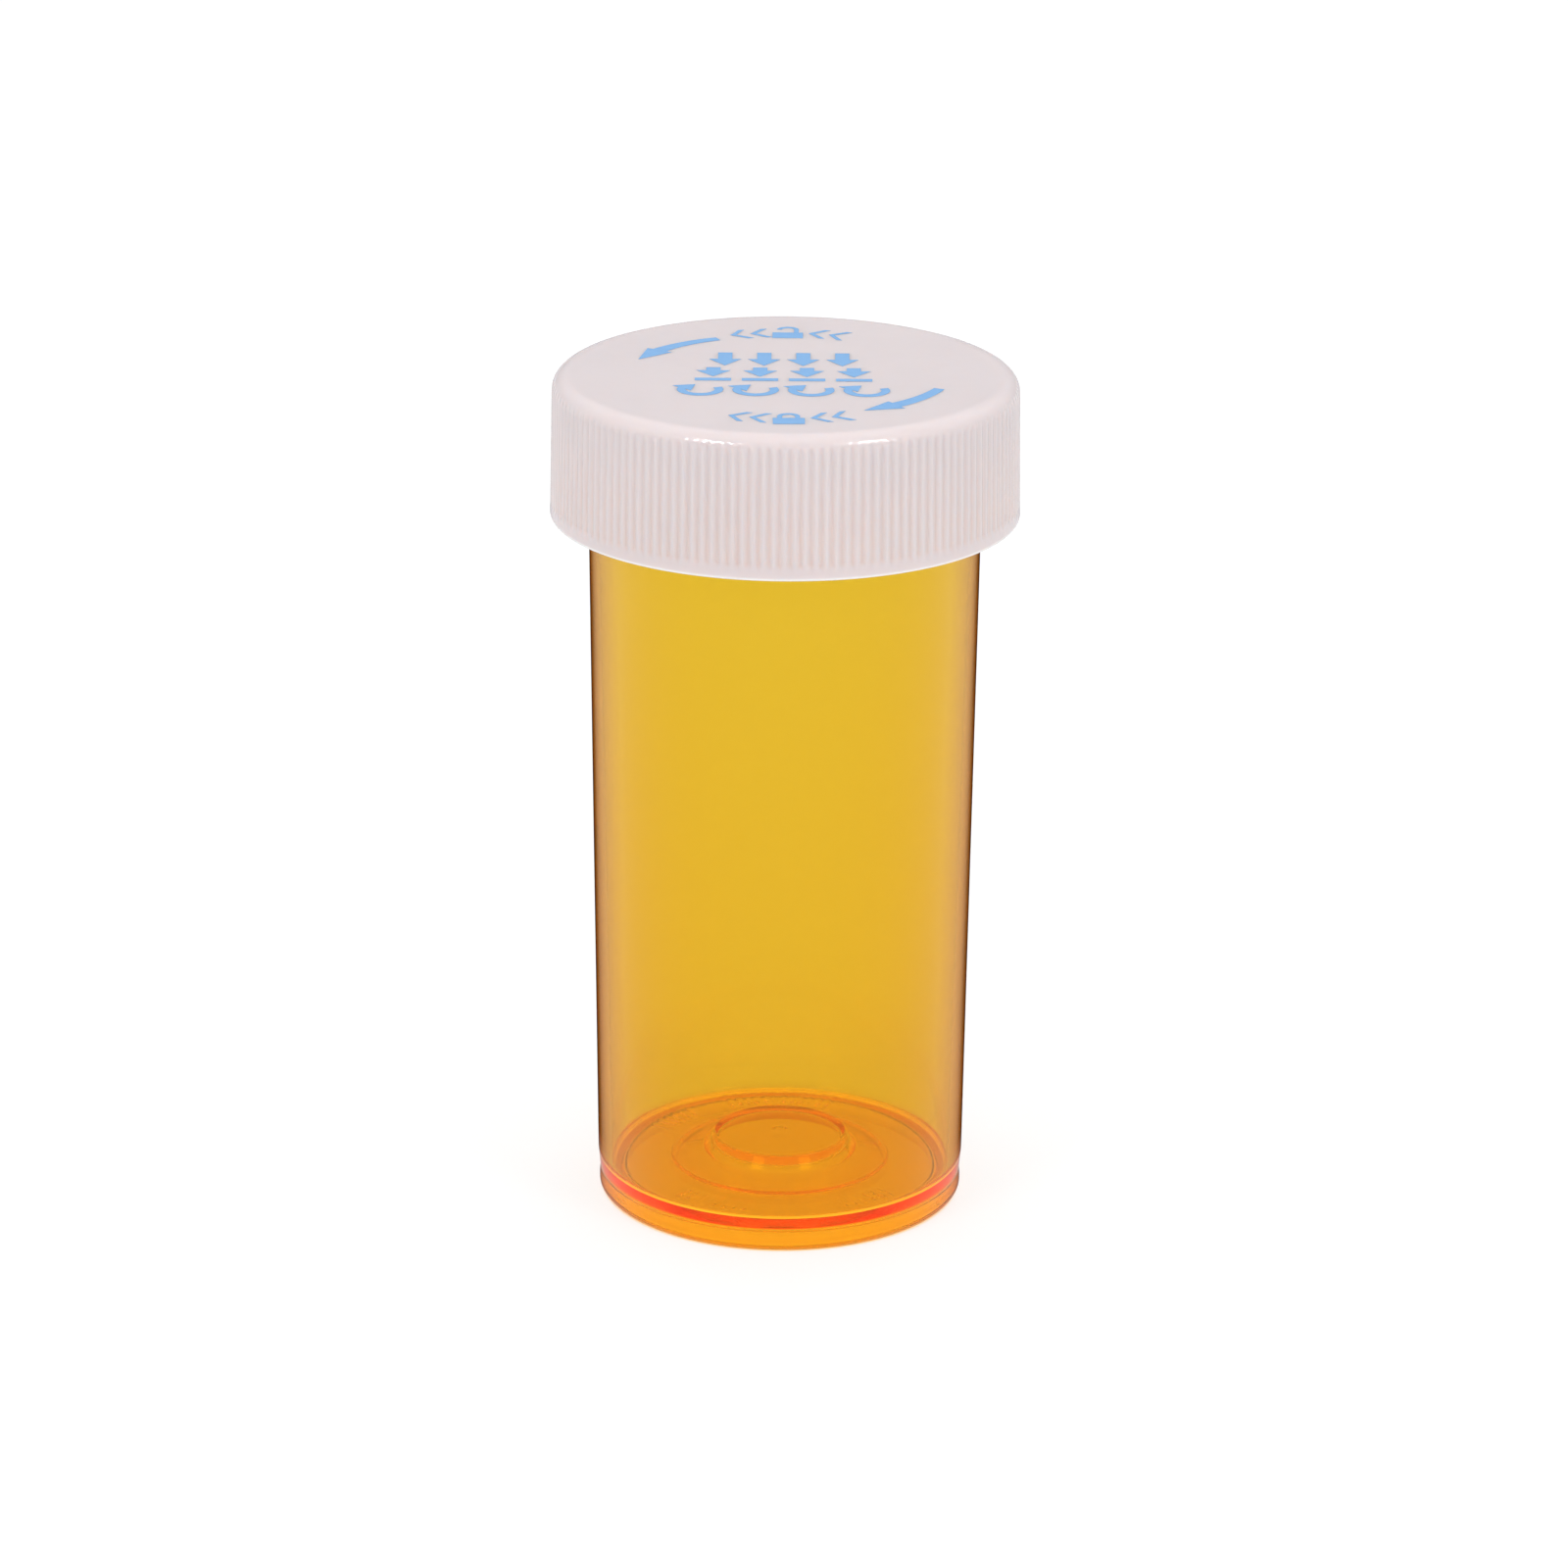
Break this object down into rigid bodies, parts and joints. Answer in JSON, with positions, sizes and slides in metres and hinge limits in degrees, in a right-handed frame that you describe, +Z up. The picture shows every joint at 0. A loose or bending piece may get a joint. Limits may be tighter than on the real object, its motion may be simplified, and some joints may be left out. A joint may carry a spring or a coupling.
{
  "type": "prescription vial",
  "caption": "Clear amber prescription vial with a tapered body and a ribbed white child-resistant push-and-turn cap that holds a domed sealing disc.",
  "frame": {"origin": "centre of the vial's foot, on the surface it stands on", "axes": "+Z up along the vial's axis, out of its mouth; +X and +Y level, with a cap lug on +X"},
  "size_m": [0.0378, 0.0378, 0.07],
  "materials": {
    "vial_amber": "gloss",
    "cap_white": "satin",
    "disc_natural": "satin",
    "cap_ink": "satin"
  },
  "bodies": {
    "vial": {"vial": "vial_amber"},
    "seal": {"seal_disc": "disc_natural"},
    "cap": {"cap": "cap_white"}
  },
  "joints": [
    {"name": "cap_lift", "type": "slide", "parent": "vial", "child": "seal", "axis": [0, 0, 1], "range_m": [0, 0.025]},
    {"name": "cap_turn", "type": "hinge", "parent": "seal", "child": "cap", "pos_m": [0, 0, 0.064], "axis": [0, 0, 1], "range_deg": [-32, 0]}
  ]
}
